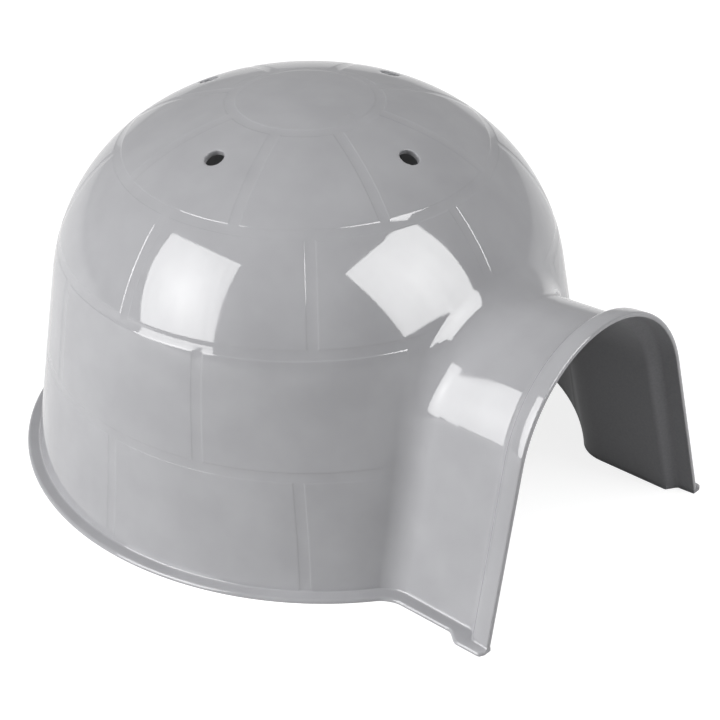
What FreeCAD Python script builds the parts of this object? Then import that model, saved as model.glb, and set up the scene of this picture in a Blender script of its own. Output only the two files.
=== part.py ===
"""Rodent igloo: an open-bottomed plastic shelter moulded as a block-patterned dome with an arched entrance.

Frame: millimetres, +Z up, the floor at Z = 0, +X out through the entrance, origin under the middle of the
outer box. The moulding is one thin shell. It is divided along its own visible lines into the base flange,
the upright wall, the domed roof, the entrance tunnel and the collar round the entrance.
"""
import FreeCAD, Part
import math
import os
import Sketcher

doc = FreeCAD.newDocument("rodent_igloo")
X_AXIS = FreeCAD.Vector(1, 0, 0)
Y_AXIS = FreeCAD.Vector(0, 1, 0)
Z_AXIS = FreeCAD.Vector(0, 0, 1)

# Driving dimensions in millimetres and degrees
DIMENSIONS = {
    # plan and shell
    "half_width": 140.0,        # dome axis to the outer edge of the flange, across the entrance
    "stretch": 1.065,           # the plan is this much longer along the entrance than across it
    "wall": 2.5,                # shell thickness
    "flange_width": 5.6,        # flat rim outside the foot of the wall
    "flange_depth": 2.0,        # thickness of that rim
    # outline of the dome
    "draft": 8.6,               # lean of the upright wall
    "height": 186.0,
    "roof_rise": 86.0,          # from the top of the straight wall to the crown
    "crown_radius": 166.28,     # the flatter arc over the crown, which a rounder shoulder joins to the wall
    # entrance
    "mouth_lead": 29.7,         # the mouth stands this far in front of the dome's flange, at the floor
    "mouth_tilt": 1.2,          # the mouth leans back by this much
    "door_half": 79.0,          # half the width of the opening at the floor
    "door_radius": 58.8,        # arch of the opening
    "leg_lean": 14.7,           # lean of the entrance walls
    "collar_length": 10.0,
    "collar_ramp": 2.5,         # length of the step behind the collar
    "collar_front": 6.0,        # how far the collar stands off the tunnel at the mouth
    "collar_back": 4.0,         # and at its rear edge
    "tunnel_taper": 4.6,        # the tunnel narrows inwards on each side
    "tunnel_root": 70.0,        # dome axis to the inner end of the tunnel form
    "overrun": 1.0,             # the entrance is drawn this far past the mouth and cut off square with it
    "neck_setback": 15.1,       # from the front of the dome's flange back to the start of the plain tunnel
    "neck_fillet": 12.0,        # blend between wall and tunnel, on the outside
    # flange round the entrance
    "tunnel_margin": 1.5,       # the flange reaches this far outside the opening's foot, beside the tunnel
    "collar_margin": 6.5,       # and beside the collar
    "collar_flange": 20.8,      # length of the wider flange beside the collar
    "flange_corner": 2.4,       # corner radius at the step and at the mouth
    "neck_corner": 14.0,        # radius where the flange turns from the wall to the tunnel
    # block pattern
    "joint_width": 5.5,
    "joint_depth": 0.35,
    "lower_ring": 59.0,         # height of the wall's ring joint, at mid width
    "upper_ring_drop": 69.5,    # from the crown down to the ring joint under the roof
    "roof_ring_drop": 26.5,     # and down to the one in the roof
    "crown_ring": 34.0,         # radius of the joint round the crown block, at mid width
    "wall_pitch": 43.7,         # angle between the joints of a wall course
    # vents
    "vent_diameter": 9.0,
    "vent_circle": 60.0,        # radius of the vents' circle, before it is stretched
}

LOWER_WALL_COUNT = 7            # upright joints in each course, spread evenly either side of the back
UPPER_WALL_COUNT = 6
ROOF_COUNT = 8                  # upright joints all round each roof course
VENT_COUNT = 4
REACH = 400.0                   # longer than anything here, for cutting forms
TOUCH = 0.01                    # closer than this, two skins touch


def make_sheet():
    """The spreadsheet that drives every size."""
    sheet = doc.addObject("Spreadsheet::Sheet", "dims")
    for row, (alias, value) in enumerate(DIMENSIONS.items(), start=1):
        sheet.set("A%d" % row, alias)
        sheet.set("B%d" % row, str(value))
        sheet.setAlias("B%d" % row, alias)
    doc.recompute()
    return sheet


dims = make_sheet()

# The moulding is drawn on a round plan, where lengths along X are divided by the stretch, and is then drawn
# out along X. The dome axis lies behind the origin, which is under the middle of the box.
AXIS_X = "(-dims.mouth_lead / 2)"
ROUND_AXIS_X = "(%s / dims.stretch)" % AXIS_X

# Places along the finished entrance, measured from the dome axis
FRONT = "(dims.half_width * dims.stretch)"
MOUTH = "(%s + dims.mouth_lead)" % FRONT
COLLAR = "(%s - dims.collar_length)" % MOUTH
RAMP = "(%s - dims.collar_ramp)" % COLLAR
NECK = "(%s - dims.neck_setback)" % FRONT

# Heights of the two ring joints that are set out from the crown
UPPER_RING = "(dims.height - dims.upper_ring_drop)"
ROOF_RING = "(dims.height - dims.roof_ring_drop)"


def origin_plane(body, role):
    """One of the body's own origin planes."""
    return next(f for f in body.Origin.OriginFeatures if f.Role == role)


def add_sketch(body, name, role):
    sketch = body.newObject("Sketcher::SketchObject", name)
    sketch.AttachmentSupport = [(origin_plane(body, role), "")]
    sketch.MapMode = "FlatFace"
    return sketch


def constrain(sketch, constraint, name, expression):
    """Add a named driving constraint and bind it to the sheet."""
    index = sketch.addConstraint(constraint)
    sketch.renameConstraint(index, name)
    sketch.setExpression("Constraints." + name, expression)


def join_ends(sketch, pairs):
    """Close an outline: each pair is (edge, next edge, smooth)."""
    for first, second, smooth in pairs:
        kind = "Tangent" if smooth else "Coincident"
        sketch.addConstraint(Sketcher.Constraint(kind, first, 2, second, 1))


def boolean(kind, name, base, tool):
    """A Part boolean of two objects."""
    result = doc.addObject("Part::" + kind, name)
    result.Base = base
    result.Tool = tool
    return result


def fuse_all(name, shapes):
    result = doc.addObject("Part::MultiFuse", name)
    result.Shapes = shapes
    return result


# Dome: a turned outline


def dome_form(name, inset):
    """Solid of the dome, lying `inset` inside the outer skin."""
    body = doc.addObject("PartDesign::Body", name)
    body.Placement = FreeCAD.Placement(FreeCAD.Vector(), FreeCAD.Rotation(Z_AXIS, 180))
    body.setExpression("Placement.Base.x", ROUND_AXIS_X)
    sketch = add_sketch(body, name + "_outline", "XZ_Plane")
    lean = math.radians(dims.draft)
    outwards = FreeCAD.Vector(math.cos(lean), math.sin(lean), 0)
    foot = dims.half_width - dims.flange_width
    drum_height = dims.height - dims.roof_rise
    shoulder = FreeCAD.Vector(foot - drum_height * math.tan(lean), drum_height, 0)
    crown_radius = dims.crown_radius
    crown_centre = FreeCAD.Vector(0, dims.height - crown_radius, 0)
    reach = shoulder - crown_centre
    radius = (crown_radius ** 2 - reach.dot(reach)) / (2 * (crown_radius - reach.dot(outwards)))
    centre = shoulder - outwards * radius
    turn = math.atan2(centre.y - crown_centre.y, centre.x)
    top = FreeCAD.Vector(0, dims.height, 0)
    base = FreeCAD.Vector(foot, 0, 0)
    floor_line, wall_line, shoulder_arc, crown_arc, axis_line = 0, 1, 2, 3, 4
    sketch.addGeometry([
        Part.LineSegment(FreeCAD.Vector(), base),
        Part.LineSegment(base, shoulder),
        Part.ArcOfCircle(Part.Circle(centre, Z_AXIS, radius), lean, turn),
        Part.ArcOfCircle(Part.Circle(crown_centre, Z_AXIS, crown_radius), turn, math.pi / 2),
        Part.LineSegment(top, FreeCAD.Vector()),
    ])
    join_ends(sketch, [
        (floor_line, wall_line, False),
        (wall_line, shoulder_arc, True),
        (shoulder_arc, crown_arc, True),
        (crown_arc, axis_line, False),
        (axis_line, floor_line, False),
    ])
    sketch.addConstraint(Sketcher.Constraint("Coincident", floor_line, 1, -1, 1))
    sketch.addConstraint(Sketcher.Constraint("Horizontal", floor_line))
    sketch.addConstraint(Sketcher.Constraint("Vertical", axis_line))
    sketch.addConstraint(Sketcher.Constraint("PointOnObject", crown_arc, 3, -2))
    constrain(sketch, Sketcher.Constraint("DistanceX", floor_line, 1, floor_line, 2, foot), "foot",
              "dims.half_width - dims.flange_width - %s / cos(dims.draft * 1 deg)" % inset)
    constrain(sketch, Sketcher.Constraint("DistanceY", wall_line, 1, wall_line, 2, shoulder.y), "drum",
              "dims.height - dims.roof_rise - %s * sin(dims.draft * 1 deg)" % inset)
    constrain(sketch, Sketcher.Constraint("Angle", wall_line, 1, floor_line, 2, math.pi / 2 - lean), "lean",
              "(90 - dims.draft) * 1 deg")
    constrain(sketch, Sketcher.Constraint("Radius", crown_arc, crown_radius), "crown",
              "dims.crown_radius - %s" % inset)
    constrain(sketch, Sketcher.Constraint("DistanceY", axis_line, 2, axis_line, 1, top.y), "height",
              "dims.height - %s" % inset)
    turned = body.newObject("PartDesign::Revolution", name + "_revolution")
    turned.Profile = sketch
    turned.ReferenceAxis = (sketch, ["V_Axis"])
    turned.Angle = 360
    return body


# Entrance: arched sections joined by straight walls


def arch_section(body, name, station, shrink, grow, tilted):
    """Arch across the entrance: straight leaning legs with a round top, `grow` outside the clear opening.

    `station` is its distance from the dome axis and `shrink` how far it lies inside the mouth's opening.
    """
    sketch = add_sketch(body, name, "YZ_Plane")
    if tilted:
        sketch.AttachmentOffset.Rotation = FreeCAD.Rotation(-X_AXIS, dims.mouth_tilt)
        sketch.setExpression("AttachmentOffset.Rotation.Angle", "dims.mouth_tilt * 1 deg")
    sketch.setExpression("AttachmentOffset.Base.z", "(%s) / dims.stretch" % station)
    lean = math.radians(dims.leg_lean)
    radius = dims.door_radius
    half = dims.door_half
    centre_height = (half - radius / math.cos(lean)) / math.tan(lean)
    centre = FreeCAD.Vector(0, centre_height, 0)
    top_right = centre + FreeCAD.Vector(math.cos(lean), math.sin(lean), 0) * radius
    top_left = FreeCAD.Vector(-top_right.x, top_right.y, 0)
    right = FreeCAD.Vector(half, 0, 0)
    left = FreeCAD.Vector(-half, 0, 0)
    floor_line, right_leg, arch, left_leg = 0, 1, 2, 3
    sketch.addGeometry([
        Part.LineSegment(left, right),
        Part.LineSegment(right, top_right),
        Part.ArcOfCircle(Part.Circle(centre, Z_AXIS, radius), lean, math.pi - lean),
        Part.LineSegment(top_left, left),
    ])
    join_ends(sketch, [
        (floor_line, right_leg, False),
        (right_leg, arch, True),
        (arch, left_leg, True),
        (left_leg, floor_line, False),
    ])
    sketch.addConstraint(Sketcher.Constraint("Symmetric", floor_line, 1, floor_line, 2, -1, 1))
    sketch.addConstraint(Sketcher.Constraint("Horizontal", floor_line))
    sketch.addConstraint(Sketcher.Constraint("PointOnObject", arch, 3, -2))
    constrain(sketch, Sketcher.Constraint("DistanceX", floor_line, 1, floor_line, 2, 2 * half), "width",
              "2 * (dims.door_half + (%s - (%s)) / cos(dims.leg_lean * 1 deg))" % (grow, shrink))
    constrain(sketch, Sketcher.Constraint("Radius", arch, radius), "radius",
              "dims.door_radius + %s - (%s)" % (grow, shrink))
    constrain(sketch, Sketcher.Constraint("Angle", right_leg, 1, floor_line, 2, math.pi / 2 - lean), "lean",
              "(90 - dims.leg_lean) * 1 deg")
    return sketch


def entrance_form(name, grow):
    """Solid of the tunnel and its collar, `grow` outside the clear opening, running out past the mouth."""
    body = doc.addObject("PartDesign::Body", name)
    body.setExpression("Placement.Base.x", ROUND_AXIS_X)
    taper = "(%s - dims.tunnel_root) * tan(dims.tunnel_taper * 1 deg)" % RAMP
    flare = "(dims.collar_front - dims.collar_back) / dims.collar_length"
    stations = [
        ("root", "dims.tunnel_root", "dims.collar_front + %s" % taper, False),
        ("ramp", RAMP, "dims.collar_front", True),
        ("collar", COLLAR, "dims.collar_front - dims.collar_back", True),
        ("mouth", "%s + dims.overrun" % MOUTH, "-dims.overrun * %s" % flare, True),
    ]
    sections = []
    for station, place, shrink, tilted in stations:
        sections.append(arch_section(body, "%s_%s" % (name, station), place, shrink, grow, tilted))
    loft = body.newObject("PartDesign::AdditiveLoft", name + "_loft")
    loft.Profile = sections[0]
    loft.Sections = sections[1:]
    loft.Ruled = True
    return body


outer_dome = dome_form("outer_dome", "0")
inner_dome = dome_form("inner_dome", "dims.wall")
outer_entrance = entrance_form("outer_entrance", "dims.wall")
inner_entrance = entrance_form("inner_entrance", "0")
doc.recompute()


def lies_on(point, form):
    """True where a point is on the skin of a form."""
    return form.Shape.Shells[0].distToShape(Part.Vertex(point))[0] < TOUCH


def blend_neck(name, dome, entrance, radius):
    """Fuse the entrance to the dome and round the corner between the two."""
    joined = boolean("Fuse", name + "_joined", dome, entrance)
    doc.recompute()
    edges = []
    for number, edge in enumerate(joined.Shape.Edges, start=1):
        middle = edge.valueAt((edge.FirstParameter + edge.LastParameter) / 2)
        if middle.z > TOUCH and lies_on(middle, dome) and lies_on(middle, entrance):
            edges.append((number, radius, radius))
    blend = doc.addObject("Part::Fillet", name)
    blend.Base = joined
    blend.Edges = edges
    return blend


def stretched(name, base):
    """A form on the round plan drawn out along the entrance."""
    form = doc.addObject("Part::Scale", name)
    form.Base = base
    form.Uniform = False
    form.YScale = 1
    form.ZScale = 1
    form.setExpression("XScale", "dims.stretch")
    return form


def region(name, start, low, lean):
    """Space in front of an upright plane, or one leaning back by `lean`, above a level."""
    box = doc.addObject("Part::Box", name)
    box.Placement = FreeCAD.Placement(FreeCAD.Vector(), FreeCAD.Rotation(Y_AXIS, -lean))
    box.Length = 2 * REACH
    box.Width = 2 * REACH
    box.Height = REACH
    box.setExpression("Placement.Base.x", start)
    box.Placement.Base.y = -REACH
    box.setExpression("Placement.Base.z", low)
    return box


EVERYWHERE = "-%f" % REACH
above_flange = region("above_flange", EVERYWHERE, "dims.flange_depth", 0)
outer_skin = stretched("outer_skin", blend_neck("outer_round", outer_dome, outer_entrance, dims.neck_fillet))
inner_round = blend_neck("inner_round", inner_dome, inner_entrance, dims.neck_fillet + dims.wall)
inner_skin = stretched("inner_skin", inner_round)
outer_form = boolean("Common", "outer_form", outer_skin, above_flange)
inner_form = boolean("Common", "inner_form", inner_skin, above_flange)
shell = boolean("Cut", "shell", outer_form, inner_form)


# Block pattern: shallow joints sunk into the skin, left out where the tunnel's fillet starts


def joint_slab(name, angle, low, high):
    """Upright slab from the dome axis outwards at `angle`, between two heights, that cuts one joint."""
    box = doc.addObject("Part::Box", name)
    box.Placement = FreeCAD.Placement(FreeCAD.Vector(), FreeCAD.Rotation(Z_AXIS, angle))
    box.Length = REACH
    box.setExpression("Width", "dims.joint_width")
    box.setExpression("Height", "%s - %s" % (high, low))
    box.setExpression("Placement.Base.x", "%s + dims.joint_width / 2 * sin(%f deg)" % (ROUND_AXIS_X, angle))
    box.setExpression("Placement.Base.y", "-dims.joint_width / 2 * cos(%f deg)" % angle)
    box.setExpression("Placement.Base.z", low)
    return box


def course_joints():
    """Upright joints of the four courses of blocks, each half a block round from the next."""
    back = 180
    wall_pitch = dims.wall_pitch
    roof_pitch = 360 / ROOF_COUNT
    courses = [
        # course, its lower and upper edge, the number of joints, their pitch and the angle they centre on
        ("lower_wall", "dims.flange_depth", "dims.lower_ring", LOWER_WALL_COUNT, wall_pitch, back),
        ("upper_wall", "dims.lower_ring", UPPER_RING, UPPER_WALL_COUNT, wall_pitch, back),
        ("lower_roof", UPPER_RING, ROOF_RING, ROOF_COUNT, roof_pitch, back - roof_pitch / 2),
        ("upper_roof", ROOF_RING, "dims.height", ROOF_COUNT, roof_pitch, back),
    ]
    joints = []
    for course, low, high, count, pitch, middle in courses:
        for index in range(count):
            turn = math.radians(middle + (index - (count - 1) / 2) * pitch)
            on_round_plan = math.degrees(math.atan2(dims.stretch * math.sin(turn), math.cos(turn)))
            joints.append(joint_slab("%s_joint_%d" % (course, index), on_round_plan, low, high))
    return joints


def ring_joints():
    """Flat discs that cut the ring joints, and a tube that cuts the joint round the crown block."""
    rings = []
    for name, level in (("lower", "dims.lower_ring"), ("upper", UPPER_RING), ("roof", ROOF_RING)):
        disc = doc.addObject("Part::Cylinder", name + "_ring_joint")
        disc.Radius = REACH
        disc.setExpression("Height", "dims.joint_width")
        disc.setExpression("Placement.Base.z", "%s - dims.joint_width / 2" % level)
        rings.append(disc)
    rods = []
    for name, side in (("crown_joint_outside", "+"), ("crown_block", "-")):
        rod = doc.addObject("Part::Cylinder", name)
        rod.setExpression("Radius", "dims.crown_ring %s dims.joint_width / 2" % side)
        rod.setExpression("Height", "2 * dims.height")
        rod.setExpression("Placement.Base.x", ROUND_AXIS_X)
        rods.append(rod)
    rings.append(boolean("Cut", "crown_joint", *rods))
    return rings, rods[1]


def sunken_joints():
    """The thin solids that the joints take out of the skin."""
    skin = boolean("Cut", "joint_skin", outer_dome, dome_form("joint_floor", "dims.joint_depth"))
    clear = entrance_form("entrance_clearance", "(dims.wall + dims.neck_fillet)")
    free_skin = boolean("Cut", "free_skin", skin, clear)
    rings, crown_block = ring_joints()
    uprights = boolean("Cut", "upright_joints", fuse_all("course_joints", course_joints()), crown_block)
    pattern = fuse_all("joint_pattern", rings + [uprights])
    return boolean("Common", "joints", free_skin, pattern)


def vents():
    """Four round holes near the crown, one over the entrance and one every quarter turn."""
    rods = []
    for index in range(VENT_COUNT):
        turn = 360 / VENT_COUNT * index
        rod = doc.addObject("Part::Cylinder", "vent_%d" % index)
        rod.setExpression("Radius", "dims.vent_diameter / 2")
        rod.setExpression("Height", "2 * dims.height")
        place = "%s + dims.stretch * dims.vent_circle * cos(%f deg)" % (AXIS_X, turn)
        rod.setExpression("Placement.Base.x", place)
        rod.setExpression("Placement.Base.y", "dims.vent_circle * sin(%f deg)" % turn)
        rods.append(rod)
    return fuse_all("vents", rods)


vented = boolean("Cut", "vented_shell", shell, vents())
moulding = boolean("Cut", "moulding", vented, stretched("stretched_joints", sunken_joints()))


# Flange: a flat rim that follows the foot of the wall and steps out round the collar


def plate_box(name, start, half):
    """Flat block from a distance in front of the dome axis to the mouth."""
    box = doc.addObject("Part::Box", name)
    box.setExpression("Length", "%s - %s" % (MOUTH, start))
    box.setExpression("Width", "2 * %s" % half)
    box.setExpression("Height", "dims.flange_depth")
    box.setExpression("Placement.Base.x", "%s + %s" % (AXIS_X, start))
    box.setExpression("Placement.Base.y", "-%s" % half)
    return box


def flange_plate():
    """The flange's outline as a full plate, with its corners rounded."""
    oval = doc.addObject("Part::Ellipse", "dome_outline")
    oval.setExpression("MajorRadius", FRONT)
    oval.setExpression("MinorRadius", "dims.half_width")
    oval.setExpression("Placement.Base.x", AXIS_X)
    disc = doc.addObject("Part::Extrusion", "dome_plate")
    disc.Base = oval
    disc.Dir = Z_AXIS
    disc.DirMode = "Custom"
    disc.Solid = True
    disc.setExpression("LengthFwd", "dims.flange_depth")
    tunnel = plate_box("tunnel_plate", "dims.tunnel_root", "(dims.door_half + dims.tunnel_margin)")
    step = "(%s - dims.collar_flange)" % MOUTH
    wide = plate_box("collar_plate", step, "(dims.door_half + dims.collar_margin)")
    plate = fuse_all("sharp_plate", [disc, tunnel, wide])
    plate.Refine = True
    doc.recompute()
    corners = []
    for number, edge in enumerate(plate.Shape.Edges, start=1):
        first, last = (vertex.Point for vertex in (edge.Vertexes[0], edge.Vertexes[-1]))
        upright = abs(last.z - first.z) > TOUCH
        seam = abs(first.y) < TOUCH
        if upright and not seam:
            on_plan = FreeCAD.Vector((first.x - oval.Placement.Base.x) / dims.stretch, first.y, 0)
            on_dome = on_plan.Length < dims.half_width + TOUCH
            radius = dims.neck_corner if on_dome else dims.flange_corner
            corners.append((number, radius, radius))
    rounded = doc.addObject("Part::Fillet", "flange_plate")
    rounded.Base = plate
    rounded.Edges = corners
    return rounded


plate = flange_plate()


# Pieces: the moulding divided along its own lines


mouth_lean = math.degrees(math.atan(dims.stretch * math.tan(math.radians(dims.mouth_tilt))))
top = region("top", EVERYWHERE, UPPER_RING, 0)
front = region("front", "%s + %s" % (AXIS_X, NECK), "0", 0)
collar = region("collar", "%s + %s" % (AXIS_X, RAMP), "0", mouth_lean)
outside = region("outside", "%s + %s" % (AXIS_X, MOUTH), "0", mouth_lean)
trimmed = boolean("Cut", "trimmed_moulding", moulding, outside)
entrance = boolean("Common", "entrance", trimmed, front)
house = boolean("Cut", "house", trimmed, front)

pieces = [
    boolean("Cut", "base_flange", plate, inner_skin),
    boolean("Cut", "upright_wall", house, top),
    boolean("Common", "domed_roof", house, top),
    boolean("Cut", "entrance_tunnel", entrance, collar),
    boolean("Common", "entrance_collar", entrance, collar),
]
doc.recompute()


def check():
    """Stop before anything is written if an object failed or a piece is not one sound solid."""
    for item in doc.Objects:
        if "Invalid" in item.State or "Error" in item.State:
            raise RuntimeError("%s: %s" % (item.Name, item.getStatusString()))
    for piece in pieces:
        shape = piece.Shape
        if shape.isNull() or not shape.isValid() or len(shape.Solids) != 1:
            raise RuntimeError(piece.Label + " is not one valid solid")


check()
os.makedirs("parts", exist_ok=True)
for piece in pieces:
    piece.Shape.exportStep("parts/%s.step" % piece.Label)
    print(piece.Label, round(piece.Shape.Volume), "mm3")
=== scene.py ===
"""Rodent igloo: one grey plastic moulding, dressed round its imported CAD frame. Lengths are in metres."""

import math

import bmesh
import bpy
from mathutils import Matrix, Vector


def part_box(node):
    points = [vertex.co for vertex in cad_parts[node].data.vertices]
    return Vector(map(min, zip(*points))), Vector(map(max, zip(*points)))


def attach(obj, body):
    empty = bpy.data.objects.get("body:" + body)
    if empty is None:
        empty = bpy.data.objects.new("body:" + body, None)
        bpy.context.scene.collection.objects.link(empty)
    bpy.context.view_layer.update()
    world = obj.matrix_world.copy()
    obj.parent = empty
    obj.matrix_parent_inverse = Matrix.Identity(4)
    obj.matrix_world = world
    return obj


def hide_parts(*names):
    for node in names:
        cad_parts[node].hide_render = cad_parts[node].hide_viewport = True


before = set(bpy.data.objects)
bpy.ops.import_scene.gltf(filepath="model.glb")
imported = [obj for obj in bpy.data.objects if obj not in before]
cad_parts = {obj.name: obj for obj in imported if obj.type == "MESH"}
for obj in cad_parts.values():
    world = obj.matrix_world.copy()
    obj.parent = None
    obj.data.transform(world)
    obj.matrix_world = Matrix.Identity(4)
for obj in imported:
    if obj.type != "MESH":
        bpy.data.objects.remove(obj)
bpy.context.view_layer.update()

# Dome skin: the leaning wall and the roof, one turned surface with the sunken joints of its blocks.
# It is injection-moulded polypropylene, and the polished cavity half of the mould gives this outer side.
# It is shaped on a round plan about the dome's axis, and drawn out along the entrance further on.
MM = 0.001
STRETCH = 1.065
flange_low, flange_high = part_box("base_flange")
flange_half = flange_high.y
dome_axis = flange_low.x + flange_half * STRETCH
dome_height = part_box("domed_roof")[1].z
flange_width = 5.6 * MM
wall_foot = flange_half - flange_width
wall_lean = math.radians(8.6)
roof_rise = 86 * MM
wall_top = dome_height - roof_rise
crown_radius = 166.28 * MM
crown_centre = Vector((0, dome_height - crown_radius))
shoulder_start = Vector((wall_foot - wall_top * math.tan(wall_lean), wall_top))
wall_normal = Vector((math.cos(wall_lean), math.sin(wall_lean)))
shoulder_reach = shoulder_start - crown_centre
shoulder_radius = (crown_radius ** 2 - shoulder_reach.length_squared) / 2
shoulder_radius /= crown_radius - shoulder_reach.dot(wall_normal)
shoulder_centre = shoulder_start - wall_normal * shoulder_radius
shoulder_end = math.atan2(shoulder_centre.y - crown_centre.y, shoulder_centre.x)
wall_run = wall_top / math.cos(wall_lean)
shoulder_run = wall_run + shoulder_radius * (shoulder_end - wall_lean)
crown_run = shoulder_run + crown_radius * (math.pi / 2 - shoulder_end)


def outline(run):
    """Radius and height of the dome's outline that far up from the floor, and the slope of its normal."""
    if run < wall_run:
        along = Vector((-wall_normal.y, wall_normal.x)) * run
        return Vector((wall_foot, 0)) + along, wall_lean
    if run < shoulder_run:
        slope = wall_lean + (run - wall_run) / shoulder_radius
        return shoulder_centre + Vector((math.cos(slope), math.sin(slope))) * shoulder_radius, slope
    slope = shoulder_end + (run - shoulder_run) / crown_radius
    return crown_centre + Vector((math.cos(slope), math.sin(slope))) * crown_radius, slope


def eased(share):
    """Goes from 0 to 1 with soft ends."""
    share = min(max(share, 0), 1)
    return share * share * (3 - 2 * share)


round_level = 110 * MM
upper_shorter = 0.03
upper_wider = 0.035


def plan_scale(level):
    """How the plan grows along and across the entrance at a level: the oval foot turns nearly round above."""
    share = eased(level / round_level)
    return 1 - upper_shorter * share, 1 + upper_wider * share


def on_dome(turn, run):
    """Point of the dome's smooth skin at a turn about its axis, and the normal there."""
    (radius, level), slope = outline(run)
    along, across = math.cos(turn), math.sin(turn)
    probe = 0.1 * MM
    wide, deep = plan_scale(level)
    wide_above, deep_above = plan_scale(level + probe)
    rise, inset = math.cos(slope), -math.sin(slope)
    wide_rate = inset * wide + radius * rise * (wide_above - wide) / probe
    deep_rate = inset * deep + radius * rise * (deep_above - deep) / probe
    lift = across * across * wide * deep_rate + along * along * deep * wide_rate
    normal = Vector((along * deep * rise, across * wide * rise, -lift)).normalized()
    return Vector((radius * along * wide, radius * across * deep, level)), normal


def run_to(passed):
    """How far up the outline the first point lies that has passed a level or a radius."""
    below, above = 0, crown_run
    for _ in range(40):
        middle = (below + above) / 2
        if passed(outline(middle)[0]):
            above = middle
        else:
            below = middle
    return above


# The rings of joints go by their height, and the crown block's ring, the vents and the gate by their radius.
flange_top = 2 * MM
ring_levels = [59 * MM, dome_height - 69.5 * MM, dome_height - 26.5 * MM]
crown_ring = 34 * MM
vent_circle = 60 * MM
gate_circle = 27.6 * MM
ring_runs = [run_to(lambda point: point.y > level) for level in ring_levels]
ring_runs.append(run_to(lambda point: point.x < crown_ring))
vent_run = run_to(lambda point: point.x < vent_circle)
gate_run = run_to(lambda point: point.x < gate_circle)

# The joints lie in line every second course. On the wall their spacing varies a little round the oval, as in
# the photograph, and the two sides of the entrance are alike.
joint_depth = 0.13 * MM
joint_half = 2.75 * MM
joint_flank = 0.6 * MM
gather_radius = 31 * MM
joint_lines = [-3.3, -2.75, -2.6, -2.45, -2.3, -2.15, 0, 2.15, 2.3, 2.45, 2.6, 2.75, 3.3]
wall_turns = [0, 24.6, 50.4, 70.9, 92.5, 114.4, 134.7, 158.1, 180]
wall_turns += [360 - turn for turn in wall_turns[-2:0:-1]]
roof_turns = [22.5 * step - 1 for step in range(16)]
GROUPS = len(roof_turns)
PLAIN = 17
COLUMNS = GROUPS * (len(joint_lines) + PLAIN)


def joint_turn(group, run):
    """Turn of a joint's middle line, which goes from the wall's place to the roof's across a plain course."""
    first, last = (ring_runs[0], ring_runs[1]) if group % 2 == 0 else (ring_runs[1], ring_runs[2])
    share = min(max((run - first) / (last - first), 0), 1)
    start, end = wall_turns[group % GROUPS], roof_turns[group % GROUPS]
    return math.radians(start + (end - start) * share + 360 * (group // GROUPS))


def column_turn(column, run):
    """Turn of a column of vertices: some gather at the joints' edges, and the rest lie evenly between."""
    group, place = divmod(column + len(joint_lines) // 2, len(joint_lines) + PLAIN)
    radius = max(outline(run)[0].x, gather_radius)
    if place < len(joint_lines):
        return joint_turn(group, run) + joint_lines[place] * MM / radius
    start = joint_turn(group, run) + joint_lines[-1] * MM / radius
    end = joint_turn(group + 1, run) + joint_lines[0] * MM / radius
    return start + (end - start) * (place - len(joint_lines) + 1) / (PLAIN + 1)


def joint_sink(turn, run):
    """How far the joints lie below the skin here."""
    off_line = min(abs(run - ring) for ring in ring_runs)
    course = sum(run > ring for ring in ring_runs)
    if course < len(ring_runs):
        radius = outline(run)[0].x
        for group in range(course % 2, GROUPS, 2):
            if group or course > 1:
                apart = math.remainder(turn - joint_turn(group, run), math.tau)
                off_line = min(off_line, radius * abs(apart))
    return joint_depth * eased((joint_half - off_line) / joint_flank)


# Rows of vertices gather at the joints, the vents and the gate, and lie evenly between.
fine_runs = [ring + line * MM for ring in ring_runs for line in joint_lines]
fine_runs += [ring_runs[1] - 0.3 * MM, ring_runs[1] + 0.3 * MM]
fine_runs += [vent_run + step * 0.7 * MM for step in range(-8, 9)]
fine_runs += [gate_run + step * 0.45 * MM for step in range(-5, 6)]
fine_runs += [flange_top / math.cos(wall_lean), crown_run]
under_floor = 4 * MM
row_step = 3 * MM
row_gap = 1.3 * MM
row_count = int((crown_run + under_floor) / row_step)
even_runs = [-under_floor + step * row_step for step in range(row_count)]
rows = fine_runs + [run for run in even_runs if min(abs(run - fine) for fine in fine_runs) > row_gap]

skin = bmesh.new()
row_run = skin.verts.layers.float.new("run")
column_mark = skin.verts.layers.int.new("column")
region = skin.faces.layers.int.new("region")
previous = None
for run in sorted(rows):
    radius, level = outline(run)[0]
    vertex = skin.verts.new((radius, 0, level))
    vertex[row_run] = run
    if previous:
        skin.edges.new((previous, vertex))
    previous = vertex
bmesh.ops.spin(skin, geom=skin.verts[:] + skin.edges[:], axis=(0, 0, 1), cent=(0, 0, 0),
               angle=math.tau, steps=COLUMNS, use_merge=True)
spot = {}
for vertex in skin.verts:
    column = round(math.atan2(vertex.co.y, vertex.co.x) / math.tau * COLUMNS) % COLUMNS
    spot[vertex] = column_turn(column, vertex[row_run]), vertex[row_run]

# Neck: the polypropylene fillet between dome and tunnel, moulded with both. A ball of its radius rolls
# between the two, and the skin leaves the dome where the ball touches it.
# The tunnel's section is a round arch on two leaning legs, and it widens a little towards the mouth.
neck_radius = 16 * MM
door_half = 79 * MM
door_radius = 58.8 * MM
leg_lean = math.radians(14.7)
arch_level = (door_half - door_radius / math.cos(leg_lean)) / math.tan(leg_lean)
wall_thickness = 2.5 * MM
mouth_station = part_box("entrance_collar")[1].x - dome_axis
collar_length = 12.5 * MM
collar_station = mouth_station - collar_length
collar_step = 6 * MM
ramp_offset = wall_thickness - collar_step
neck_station = 137 * MM
neck_zone = 60 * MM
FAR = 1
side_taper = 0.5
top_taper = 4.1
mouth_tilt = math.tan(math.radians(1.2))


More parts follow.
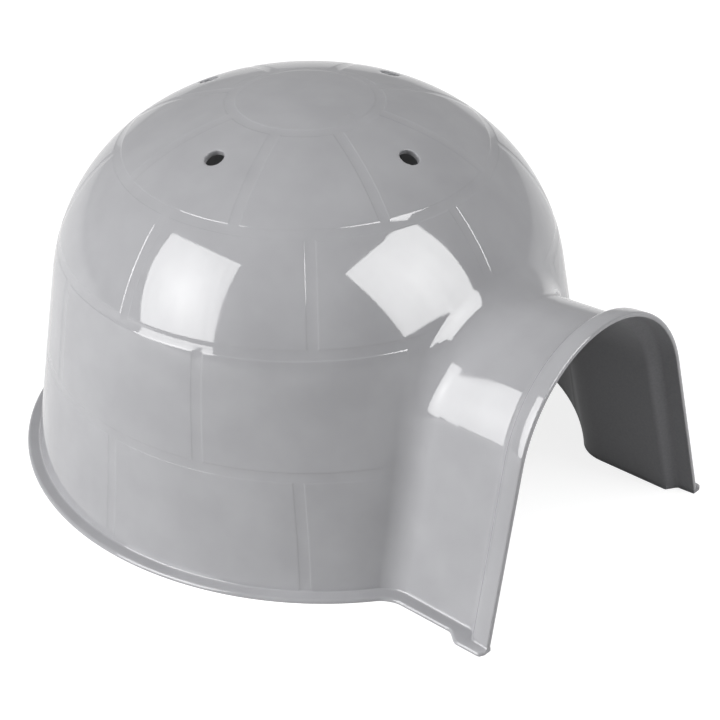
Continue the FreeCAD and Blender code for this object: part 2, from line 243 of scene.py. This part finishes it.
def arch(point):
    """How far a point lies outside the doorway's section, and the direction straight out of it."""
    rise = point.z - arch_level
    if rise < abs(point.y) * math.tan(leg_lean):
        out = Vector((0, math.copysign(math.cos(leg_lean), point.y), math.sin(leg_lean)))
    else:
        out = Vector((0, point.y, rise)).normalized()
    return point.y * out.y + rise * out.z - door_radius, out


def tunnel_taper(out):
    """How fast the tunnel widens towards the mouth on the side that faces this way: most at the top."""
    return math.tan(math.radians(side_taper + top_taper * out.z ** 2))


def tunnel_offset(station, out):
    """How far the tunnel's skin lies outside the doorway's section, at a station from the dome's axis."""
    return ramp_offset - (collar_station - station) * tunnel_taper(out)


def neck_gap(turn, run):
    """Gap between the rolling ball and the tunnel, where the ball touches the dome at this spot."""
    point, normal = on_dome(turn, run)
    ball = point + normal * neck_radius
    if ball.x < neck_zone:
        return FAR
    offset, out = arch(ball)
    offset -= tunnel_offset(ball.x * STRETCH, out)
    return offset / math.hypot(1, tunnel_taper(out) * STRETCH) - neck_radius


def trim(gap):
    """Cuts the part of the skin away where the gap is below zero, and returns the edges of the cut."""
    gaps = {vertex: gap(*spot[vertex]) for vertex in skin.verts}
    moves = {}
    for edge in skin.edges:
        inner, outer = sorted(edge.verts, key=gaps.get)
        if gaps[inner] < 0 < gaps[outer]:
            near, far = Vector(spot[inner]), Vector(spot[outer])
            near.x = far.x + math.remainder(near.x - far.x, math.tau)
            low, high = 0, 1
            for _ in range(30):
                share = (low + high) / 2
                low, high = (low, share) if gap(*near.lerp(far, share)) > 0 else (share, high)
            for vertex, shift in ((inner, high), (outer, 1 - high)):
                if shift <= 0.5 and shift < moves.get(vertex, (1,))[0]:
                    moves[vertex] = shift, tuple(near.lerp(far, high))
    for vertex, (shift, place) in moves.items():
        spot[vertex] = place
        gaps[vertex] = 0
    for face in skin.faces[:]:
        on_cut = [vertex for vertex in face.verts if vertex in moves]
        signs = {gaps[vertex] > 0 for vertex in face.verts if vertex not in moves}
        if len(signs) == 2:
            bmesh.utils.face_split(face, on_cut[0], on_cut[1])
    waste = [face for face in skin.faces if min(gaps[vertex] for vertex in face.verts) < 0]
    bmesh.ops.delete(skin, geom=waste, context="FACES")
    return [edge for edge in skin.edges if edge.is_boundary and all(vertex in moves for vertex in edge.verts)]


def chain(edges):
    """Vertices of a row of edges in order, from one end to the other."""
    links = {}
    for edge in edges:
        for vertex in edge.verts:
            links.setdefault(vertex, []).append(edge.other_vert(vertex))
    order = [min((vertex for vertex in links if len(links[vertex]) == 1), key=lambda vertex: vertex.co.y)]
    while True:
        onward = [vertex for vertex in links[order[-1]] if vertex not in order[-2:]]
        if not onward:
            return order
        order.append(onward[0])


def drawn_out(mesh, edges, target, material=0):
    """Extrudes a row of edges, puts each new vertex where the target says, and returns the new edges."""
    old = {vertex for edge in edges for vertex in edge.verts}
    made = bmesh.ops.extrude_edge_only(mesh, edges=edges)["geom"]
    fresh = {}
    for vertex in made:
        if isinstance(vertex, bmesh.types.BMVert):
            parent = next(edge.other_vert(vertex) for edge in vertex.link_edges
                          if edge.other_vert(vertex) in old)
            fresh[vertex] = target(parent)
    for vertex, place in fresh.items():
        vertex.co = place
    for face in made:
        if isinstance(face, bmesh.types.BMFace):
            face.material_index = material
    return [edge for edge in made if isinstance(edge, bmesh.types.BMEdge)
            and all(vertex in fresh for vertex in edge.verts)]


neck_edges = trim(neck_gap)

# Vents: four round holes through the polypropylene roof, left by core pins in the mould.
# A wider circle is cut out round each, and its edge is drawn in to the edge of the hole.
vent_radius = 4.5 * MM
vent_ring = 6.8 * MM
vent_zone = 12 * MM
for quarter in range(4):
    vent = Vector((math.cos(quarter * math.pi / 2), math.sin(quarter * math.pi / 2), 0)) * vent_circle

    def vent_gap(turn, run):
        """Distance from the circle cut round this vent, which is round in the finished plan."""
        if abs(run - vent_run) > vent_zone:
            return FAR
        apart = on_dome(turn, run)[0] - vent
        return math.hypot(apart.x * STRETCH, apart.y) - vent_ring

    def hole_edge(parent):
        """Place in plan on the vent's round edge, straight inwards from a vertex of the wider circle."""
        apart = on_dome(*spot[parent])[0] - vent
        apart = Vector((apart.x * STRETCH, apart.y, 0)).normalized() * vent_radius
        return vent + Vector((apart.x / STRETCH, apart.y, 0))

    for edge in drawn_out(skin, trim(vent_gap), hole_edge):
        for vertex in edge.verts:
            wide, deep = plan_scale(dome_height)
            place = Vector((vertex.co.x / wide, vertex.co.y / deep))
            spot[vertex] = math.atan2(place.y, place.x), run_to(lambda point: point.x < place.length)

# Every vertex goes to its place on the dome. The joints fade out at the neck, and the nub left by the mould's
# gate stands up beside the crown block.
fade_start = 0.5 * MM
fade_length = 6 * MM
nub_height = 0.35 * MM
nub_radius = 2 * MM
nub_flank = 1.2 * MM
gate = on_dome(roof_turns[0] * math.tau / 360, gate_run)[0]
spot = {vertex: spot[vertex] for vertex in skin.verts}
for vertex, (turn, run) in spot.items():
    point, normal = on_dome(turn, run)
    joint_share = eased((neck_gap(turn, run) - fade_start) / fade_length)
    nub = nub_height * eased((nub_radius - (point - gate).length) / nub_flank)
    vertex.co = point + normal * (nub - joint_sink(turn, run) * joint_share)
    vertex[row_run] = run

# Every face of the dome is marked for the roof or for the wall.
ROOF, WALL = 1, 0
roof_start = ring_runs[1] - 0.01 * MM
for face in skin.faces:
    face[region] = ROOF if min(vertex[row_run] for vertex in face.verts) > roof_start else WALL

# From the neck's edge the skin is drawn round the ball and on to where the tunnel begins.
neck_columns = []
for number, vertex in enumerate(chain(neck_edges)):
    vertex[column_mark] = number
    point, normal = on_dome(*spot[vertex])
    ball = point + normal * neck_radius
    out = arch(ball)[1]
    slope = Vector((tunnel_taper(out) * STRETCH, 0, 0))
    inward = (slope - out).normalized()
    leave = ball + inward * neck_radius
    level = leave - out * tunnel_offset(leave.x * STRETCH, out)
    neck_columns.append((ball, normal, inward, leave, level, out))


def entrance_point(column, station, offset):
    """Point of the entrance in this column, that far along. Its offset is from the tunnel's skin, or at the
    collar from the doorway's section."""
    level, out = neck_columns[column][4:]
    if station < collar_station:
        offset += tunnel_offset(station, out)
    point = level + out * offset
    point.x = station / STRETCH
    return point


def rolled(parent, share):
    """Place on the rolling ball, that share of the way from the dome to the tunnel."""
    ball, normal, inward = neck_columns[parent[column_mark]][:3]
    return ball + neck_radius * (-normal).slerp(inward, share)


def led_on(parent, share):
    """Place on the tunnel's skin, that share of the way from the ball to where the tunnel begins."""
    leave = neck_columns[parent[column_mark]][3]
    return leave.lerp(entrance_point(parent[column_mark], neck_station, 0), share)


rim = neck_edges
ROLL = 30
for step in range(1, ROLL + 1):
    rim = drawn_out(skin, rim, lambda parent: rolled(parent, step / ROLL))
for share in (0.12, 1):
    rim = drawn_out(skin, rim, lambda parent: led_on(parent, share))

bmesh.ops.remove_doubles(skin, verts=skin.verts, dist=0.01 * MM)
bmesh.ops.recalc_face_normals(skin, faces=skin.faces)
bmesh.ops.bisect_plane(skin, geom=skin.verts[:] + skin.edges[:] + skin.faces[:], dist=0.001 * MM,
                       plane_co=(0, 0, flange_top), plane_no=(0, 0, 1), clear_inner=True)
to_finished = Matrix.Translation((dome_axis, 0, 0)) @ Matrix.Scale(STRETCH, 4, (1, 0, 0))
bmesh.ops.transform(skin, matrix=to_finished, verts=skin.verts)
skin.normal_update()
if max(skin.faces, key=lambda face: face.calc_center_median().z).normal.z < 0:
    bmesh.ops.reverse_faces(skin, faces=skin.faces)
    skin.normal_update()


# Polypropylene, mid grey, moulded against polished steel: a clear gloss with a faint orange peel and flow
# mottle. Handling has left smears, which soften the gloss here and there.
# The peel is drawn coarser than on real plastic, so that it shows.
def linear(code):
    """Linear values of an sRGB hex colour."""
    parts = [int(code[start:start + 2], 16) / 255 for start in (1, 3, 5)]
    return [part / 12.92 if part <= 0.04045 else ((part + 0.055) / 1.055) ** 2.4 for part in parts] + [1]


def node(tree, kind, values=None, links=None, **settings):
    """Adds a node with its settings, its socket values and the links into it."""
    made = tree.nodes.new("ShaderNode" + kind)
    for name, setting in settings.items():
        setattr(made, name, setting)
    for socket, value in (values or {}).items():
        made.inputs[socket].default_value = value
    for socket, source in (links or {}).items():
        tree.links.new(source, made.inputs[socket])
    return made


polished = bpy.data.materials.new("polypropylene_moulded_polished")
polished.use_nodes = True
tree = polished.node_tree
shader = tree.nodes["Principled BSDF"]
where = node(tree, "TexCoord").outputs["Object"]
mottle = node(tree, "TexNoise", {"Scale": 1 / (28 * MM), "Detail": 3, "Roughness": 0.5}, {"Vector": where})
tint = node(tree, "ValToRGB", None, {"Fac": mottle.outputs["Fac"]})
tint.color_ramp.elements[0].position = 0.35
tint.color_ramp.elements[0].color = linear("#A2A2A5")
tint.color_ramp.elements[1].position = 0.65
tint.color_ramp.elements[1].color = linear("#A8A8AB")
smear = node(tree, "TexNoise", {"Scale": 1 / (14 * MM), "Detail": 5, "Roughness": 0.6}, {"Vector": where})
gloss = node(tree, "MapRange", {"From Min": 0.3, "From Max": 0.7, "To Min": 0.03, "To Max": 0.07},
             {"Value": smear.outputs["Fac"]})
peel = node(tree, "TexNoise", {"Scale": 1 / (2.2 * MM), "Detail": 2, "Roughness": 0.5}, {"Vector": where})
skin_bump = node(tree, "Bump", {"Strength": 0.05, "Distance": 0.1 * MM}, {"Height": peel.outputs["Fac"]})
tree.links.new(tint.outputs["Color"], shader.inputs["Base Color"])
tree.links.new(gloss.outputs["Result"], shader.inputs["Roughness"])
tree.links.new(skin_bump.outputs["Normal"], shader.inputs["Normal"])
shader.inputs["IOR"].default_value = 1.49

# Polypropylene, the same mid grey, moulded against the matt core half of the mould: the inside scatters the
# light.
# Its grey is painted darker than the outer skin's, as painted shade for the inside of the igloo. Its grain is
# drawn coarser than on real plastic, so that it shows.
matt = bpy.data.materials.new("polypropylene_moulded_matt_painted_shade")
matt.use_nodes = True
tree = matt.node_tree
shader = tree.nodes["Principled BSDF"]
where = node(tree, "TexCoord").outputs["Object"]
grain = node(tree, "TexNoise", {"Scale": 1 / (1.2 * MM), "Detail": 3, "Roughness": 0.6}, {"Vector": where})
# Painted shade: both greys of the grain are darker than the outer skin's, standing in for the shade inside.
tint = node(tree, "ValToRGB", None, {"Fac": grain.outputs["Fac"]})
tint.color_ramp.elements[0].position = 0.3
tint.color_ramp.elements[0].color = linear("#7E7E81")
tint.color_ramp.elements[1].position = 0.7
tint.color_ramp.elements[1].color = linear("#868689")
grain_bump = node(tree, "Bump", {"Strength": 0.15, "Distance": 0.15 * MM}, {"Height": grain.outputs["Fac"]})
tree.links.new(tint.outputs["Color"], shader.inputs["Base Color"])
tree.links.new(grain_bump.outputs["Normal"], shader.inputs["Normal"])
shader.inputs["Roughness"].default_value = 0.55
shader.inputs["IOR"].default_value = 1.49
crease = math.radians(38)


def moulded(name, mesh, node_name):
    """Makes the object of one region of the moulding, which rides on the body and stands for its CAD node."""
    data = bpy.data.meshes.new(name)
    for face in mesh.faces:
        face.smooth = True
    mesh.to_mesh(data)
    mesh.free()
    data.set_sharp_from_angle(angle=crease)
    piece = bpy.data.objects.new(name, data)
    piece.data.materials.append(polished)
    piece.data.materials.append(matt)
    bpy.context.scene.collection.objects.link(piece)
    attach(piece, "root")
    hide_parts(node_name)


# Upright wall and domed roof: the polypropylene dome, parted along the second ring of joints from the floor.
# Each gets the moulding's wall thickness inwards, and the vents get the small round of their core pins.
vent_round = 0.6 * MM
vents_above = 150 * MM
for name, kept in (("upright_wall", WALL), ("domed_roof", ROOF)):
    shell = skin.copy()
    mark = shell.faces.layers.int["region"]
    bmesh.ops.delete(shell, geom=[face for face in shell.faces if face[mark] != kept], context="FACES")
    outer = shell.faces[:]
    bmesh.ops.solidify(shell, geom=outer, thickness=wall_thickness)
    for face in shell.faces:
        face.material_index = 1
    for face in outer:
        face.material_index = 0
    brims = [edge for edge in shell.edges if edge.verts[0].co.z > vents_above
             and sum(face.material_index for face in edge.link_faces) == 1]
    bmesh.ops.bevel(shell, geom=brims, offset=vent_round, affect="EDGES",
                    segments=3, profile=0.5, material=-1)
    moulded("shell_" + name, shell, name)


# Entrance tunnel: the arched passage from the neck to the collar, of the same polypropylene and thickness.
# It is one with the dome, so its columns go on from the neck's. The core half of the mould shapes its inside.
def swept(count, place, profile):
    """Draws a row of columns round a closed profile of (point, material). Returns the mesh and its rows."""
    mesh = bmesh.new()
    mark = mesh.verts.layers.int.new("column")
    row = []
    for number in range(count):
        row.append(mesh.verts.new(place(number, profile[0][0])))
        row[-1][mark] = number
    rim = [mesh.edges.new(pair) for pair in zip(row, row[1:])]
    rims = [rim]
    for (_, material), (point, _) in zip(profile, profile[1:] + profile[:1]):
        rim = drawn_out(mesh, rim, lambda parent: place(parent[mark], point), material)
        rims.append(rim)
    bmesh.ops.remove_doubles(mesh, verts=mesh.verts, dist=0.001 * MM)
    bmesh.ops.recalc_face_normals(mesh, faces=mesh.faces)
    return mesh, rims


def tunnel_point(column, point):
    """Point of the tunnel or the collar in the finished frame. The collar and its seam lean back a little."""
    station, offset, upright = point
    place = entrance_point(column, station, offset)
    if not upright:
        place.x -= place.z * mouth_tilt
    return to_finished @ place


def footed(mesh):
    """Cuts an entrance piece off level with the top of the flange, and closes the cut."""
    bmesh.ops.bisect_plane(mesh, geom=mesh.verts[:] + mesh.edges[:] + mesh.faces[:], dist=0.001 * MM,
                           plane_co=(0, 0, flange_top), plane_no=(0, 0, 1), clear_inner=True)
    bmesh.ops.holes_fill(mesh, edges=[edge for edge in mesh.edges if edge.is_boundary], sides=0)
    return mesh


SMOOTH, MATT = 0, 1
collar_lead = 2.5 * MM
seam_station = collar_station - collar_lead
tunnel = swept(len(neck_columns), tunnel_point, [
    ((neck_station, 0, True), SMOOTH),
    ((seam_station, 0, False), MATT),
    ((seam_station, -wall_thickness, False), MATT),
    ((neck_station, -wall_thickness, True), MATT),
])[0]
moulded("shell_entrance_tunnel", footed(tunnel), "entrance_tunnel")

# Entrance collar: the band that steps out round the mouth and stiffens its edge, of the same polypropylene.
# It is moulded with the tunnel: a ramp leads up to the band, and the corners have the round of the tool.
ramp_length = 3.5 * MM
ramp_rise = 5.2 * MM
collar, collar_rims = swept(len(neck_columns), tunnel_point, [
    ((seam_station, 0, False), SMOOTH),
    ((collar_station, ramp_offset, False), SMOOTH),
    ((collar_station + ramp_length, ramp_offset + ramp_rise, False), SMOOTH),
    ((mouth_station, wall_thickness, False), SMOOTH),
    ((mouth_station, 0, False), MATT),
    ((collar_station + ramp_length, ramp_offset + ramp_rise - wall_thickness, False), MATT),
    ((collar_station, ramp_offset - wall_thickness, False), MATT),
    ((seam_station, -wall_thickness, False), MATT),
])
for number, round_size in ((1, 2.2), (2, 1.8), (3, 0.9), (4, 0.6), (5, 1.2), (6, 1.6)):
    bmesh.ops.bevel(collar, geom=collar_rims[number], offset=round_size * MM, affect="EDGES",
                    segments=4, profile=0.5, material=-1)
moulded("shell_entrance_collar", footed(collar), "entrance_collar")

# Base flange: the flat polypropylene rim on which the shell stands, with a small fillet at the wall's foot.
# It is moulded with the wall, follows the oval, sweeps round the neck and steps out beside the collar.
foot_edges = [edge for edge in skin.edges if edge.is_boundary
              and all(abs(vertex.co.z - flange_top) < 0.01 * MM for vertex in edge.verts)]
foot_radius = wall_foot - flange_top * math.tan(wall_lean)
foot_spacing = 1.2 * MM
feet = []
for vertex in chain(foot_edges):
    place, out = vertex.co.copy(), Vector((vertex.normal.x, vertex.normal.y, 0)).normalized()
    plan = Vector(((place.x - dome_axis) / STRETCH, place.y, 0))
    if -0.5 * MM < plan.length - foot_radius < 0.02 * MM:
        plan *= foot_radius / plan.length
        place = Vector((dome_axis + plan.x * STRETCH, plan.y, flange_top))
        out = Vector((plan.x / STRETCH, plan.y, 0)).normalized()
    if not feet or (place - feet[-1][0]).length > foot_spacing:
        feet.append((place, out))
leg_steps = 44
band_rise = wall_thickness - ramp_offset - ramp_rise
band_length = collar_length - ramp_length
for step in range(1, leg_steps + 1):
    station = neck_station + (mouth_station - neck_station) * step / leg_steps
    if station < collar_station:
        offset = tunnel_offset(station, arch(Vector((station, door_half, 0)))[1])
    elif station < collar_station + ramp_length:
        offset = ramp_offset + (station - collar_station) * ramp_rise / ramp_length
    else:
        offset = wall_thickness - (mouth_station - station) * band_rise / band_length
    reach = (door_radius + offset + (arch_level - flange_top) * math.sin(leg_lean)) / math.cos(leg_lean)
    for side in (-1, 1):
        foot = Vector((dome_axis + station, side * reach, flange_top)), Vector((0, side, 0))
        feet.insert(0 if side < 0 else len(feet), foot)

# The directions in which the flange is drawn out are evened along the foot, so that they turn gently.
for _ in range(40):
    ways = [foot[1] for foot in feet]
    evened = [(before + way + after).normalized() for before, way, after in zip(ways, ways[1:], ways[2:])]
    feet[1:-1] = [(foot[0], way) for foot, way in zip(feet[1:-1], evened)]
plate_lip = 1.5 * MM
plate_step = 5 * MM
step_station = 156 * MM
step_length = 9 * MM
corner_round = 2.4 * MM
sweep = 5 * MM


def plate_gap(place):
    """How far a place on the floor lies outside the flange: the oval and the tunnel's plate, with a sweep."""
    along = place.x - dome_axis
    oval = math.hypot(along / STRETCH, place.y) - flange_half
    if along < 0:
        return oval
    plate = abs(place.y) - door_half - plate_lip - plate_step * eased((along - step_station) / step_length)
    past = min(max(1 - (mouth_station - along) / corner_round, 0), 1)
    plate += corner_round * (1 - math.sqrt(1 - past ** 2))
    return max(sweep, min(oval, plate)) - math.hypot(max(sweep - oval, 0), max(sweep - plate, 0))


widths = []
widest = 30 * MM
for foot, out in feet:
    near, far = 0, widest
    for _ in range(30):
        middle = (near + far) / 2
        near, far = (middle, far) if plate_gap(foot + out * middle) < 0 else (near, middle)
    widths.append(far)


def flange_point(column, point):
    """Point of the flange's section: from the wall's foot, or from the outer edge, and its height."""
    side, share, level = point
    place = feet[column][0] + feet[column][1] * (side + share * widths[column])
    place.z = level
    return place


fillet_inset = 0.35 * MM
fillet_top = 3.2 * MM
flange, flange_rims = swept(len(feet), flange_point, [
    ((-fillet_inset, 0, fillet_top), SMOOTH),
    ((0, 0, flange_top), SMOOTH),
    ((0, 1, flange_top), SMOOTH),
    ((0, 1, 0), MATT),
    ((-wall_thickness, 0, 0), MATT),
    ((-wall_thickness, 0, flange_top), MATT),
])
for number, round_size in ((1, 0.9), (2, 1.5), (3, 0.3)):
    bmesh.ops.bevel(flange, geom=flange_rims[number], offset=round_size * MM, affect="EDGES",
                    segments=3, profile=0.5, material=-1)
bmesh.ops.holes_fill(flange, edges=[edge for edge in flange.edges if edge.is_boundary], sides=0)
moulded("shell_base_flange", flange, "base_flange")


# Floor: a wide sheet of matt studio paper under the igloo, which keeps the soft shadow.
# For the camera, and less for the gloss, it glows a little, which takes the lit paper up to white.
def seen_share(tree, gloss):
    """Gives 1 for what the camera sees, this much for what the gloss mirrors, and 0 for plain light."""
    ray = node(tree, "LightPath").outputs
    seen = node(tree, "Math", None, {0: ray["Is Camera Ray"], 1: ray["Is Transmission Ray"]},
                operation="MAXIMUM")
    mirrored = node(tree, "Math", {1: gloss}, {0: ray["Is Glossy Ray"]}, operation="MULTIPLY")
    seen = node(tree, "Math", None, {0: seen.outputs[0], 1: mirrored.outputs[0]}, operation="MAXIMUM")
    return seen.outputs[0]


sheet = bpy.data.meshes.new("floor")
ground = bmesh.new()
bmesh.ops.create_grid(ground, x_segments=1, y_segments=1, size=5)
ground.to_mesh(sheet)
ground.free()
floor = bpy.data.objects.new("floor", sheet)
bpy.context.scene.collection.objects.link(floor)
paper = bpy.data.materials.new("white_paper_matt")
paper.use_nodes = True
tree = paper.node_tree
shader = tree.nodes["Principled BSDF"]
shader.inputs["Base Color"].default_value = linear("#A2A2A2")
shader.inputs["Roughness"].default_value = 0.9
floor_glow = 0.84
floor_mirrored = 0.75
lift = node(tree, "Math", {1: floor_glow}, {0: seen_share(tree, floor_mirrored)}, operation="MULTIPLY")
tree.links.new(lift.outputs[0], shader.inputs["Emission Strength"])
shader.inputs["Emission Color"].default_value = linear("#FFFFFF")
floor.data.materials.append(paper)


# Studio light: a tall softbox to the left of the camera, and a square one on the right, above the mouth.
# The gloss mirrors their faces of lit cloth, which are brighter in the middle, and two plain lamps give the
# soft light.
def hung(made, centre, across, down):
    """Hangs a lamp or a softbox's face by its middle, its width and its height, facing the igloo."""
    side = Vector(across).normalized()
    depth = side.cross(-Vector(down)).normalized()
    facing = Matrix((side, depth.cross(side), depth)).transposed().to_4x4()
    made.matrix_world = Matrix.Translation(centre) @ facing
    made.visible_camera = False
    bpy.context.scene.collection.objects.link(made)


def softbox(name, centre, across, down, bright, dim):
    """Makes a softbox's face, which only the gloss mirrors: bright in the middle, with soft folds down it."""
    width, height = Vector(across).length, Vector(down).length
    cloth = bmesh.new()
    bmesh.ops.create_grid(cloth, x_segments=1, y_segments=1, size=0.5)
    bmesh.ops.scale(cloth, vec=(width, height, 1), verts=cloth.verts)
    data = bpy.data.meshes.new(name)
    cloth.to_mesh(data)
    cloth.free()
    material = bpy.data.materials.new(name + "_lit_cloth")
    material.use_nodes = True
    tree = material.node_tree
    where = node(tree, "TexCoord").outputs["Object"]
    place = node(tree, "Mapping", {"Scale": (1.3 / width, 1.3 / height, 1)}, {"Vector": where})
    fall = node(tree, "TexGradient", None, {"Vector": place.outputs["Vector"]},
                gradient_type="QUADRATIC_SPHERE")
    level = node(tree, "MapRange", {"To Min": dim, "To Max": bright}, {"Value": fall.outputs["Fac"]})
    fold = node(tree, "Mapping", {"Scale": (1 / (70 * MM), 1 / (900 * MM), 1), "Rotation": (0, 0, 0.25)},
                {"Vector": where})
    fold = node(tree, "TexNoise", {"Scale": 1, "Detail": 2, "Roughness": 0.5},
                {"Vector": fold.outputs["Vector"]})
    fold = node(tree, "MapRange", {"From Min": 0.3, "From Max": 0.7, "To Min": 0.9, "To Max": 1.06},
                {"Value": fold.outputs["Fac"]})
    level = node(tree, "Math", None, {0: level.outputs["Result"], 1: fold.outputs["Result"]},
                 operation="MULTIPLY")
    shine = node(tree, "Emission", None, {"Strength": level.outputs[0]})
    tree.links.new(shine.outputs["Emission"], tree.nodes["Material Output"].inputs["Surface"])
    data.materials.append(material)
    face = bpy.data.objects.new(name, data)
    hung(face, centre, across, down)
    face.visible_diffuse = False
    face.visible_shadow = False


def plain_lamp(name, centre, across, down, radiance):
    """Makes a lamp for the plain light, which the gloss doesn't mirror."""
    lamp = bpy.data.lights.new(name, "AREA")
    lamp.shape = "RECTANGLE"
    lamp.size = Vector(across).length
    lamp.size_y = Vector(down).length
    lamp.energy = 4 * radiance * lamp.size * lamp.size_y
    light = bpy.data.objects.new(name, lamp)
    hung(light, centre, across, down)
    light.visible_glossy = False


softbox("softbox_left", (-0.638, -1.916, 1.043), (1.414, -0.354, 0.27), (0.083, -0.873, -1.785), 14, 8)
softbox("softbox_right", (0.987, 0.123, 0.77), (-0.215, 0.845, 0.076), (0.577, -0.018, -0.797), 14.5, 10.5)
plain_lamp("left", (-0.835, -1.839, 1.043), (1.369, -0.5, 0.27), (-0.009, -0.877, -1.785), 5.2)
plain_lamp("right", (1.457, 0.841, 1.53), (-0.919, 1.592, 0), (1.102, 0.637, -1.07), 2.9)

# Studio room: white to the camera, dimmer in the gloss, and faint as light on the igloo.
# So the background is white without more light on the grey plastic.
world = bpy.data.worlds.new("studio")
bpy.context.scene.world = world
world.use_nodes = True
tree = world.node_tree
tree.nodes["Background"].inputs["Color"].default_value = linear("#FFFFFF")
room_light = 0.08
room_mirrored = 0.4
level = node(tree, "MapRange", {"To Min": room_light, "To Max": 1},
             {"Value": seen_share(tree, room_mirrored)})
tree.links.new(level.outputs["Result"], tree.nodes["Background"].inputs["Strength"])

# Camera: a long lens above and in front of the left leg of the entrance, as in the photograph.
# Its place, turn and tilt were fitted to the outline, the rings and the feet of the entrance.
camera = bpy.data.objects.new("camera", bpy.data.cameras.new("camera"))
camera.data.lens = 107.6
camera.data.sensor_width = 36
turn = Matrix.Rotation(math.radians(42.055), 4, "Z")
tilt = Matrix.Rotation(math.radians(58.118), 4, "X")
roll = Matrix.Rotation(math.radians(-0.6054), 4, "Z")
camera.matrix_world = Matrix.Translation((0.61398, -0.66089, 0.60743)) @ turn @ tilt @ roll
bpy.context.scene.collection.objects.link(camera)
bpy.context.scene.camera = camera

bpy.context.scene.view_settings.view_transform = "Standard"
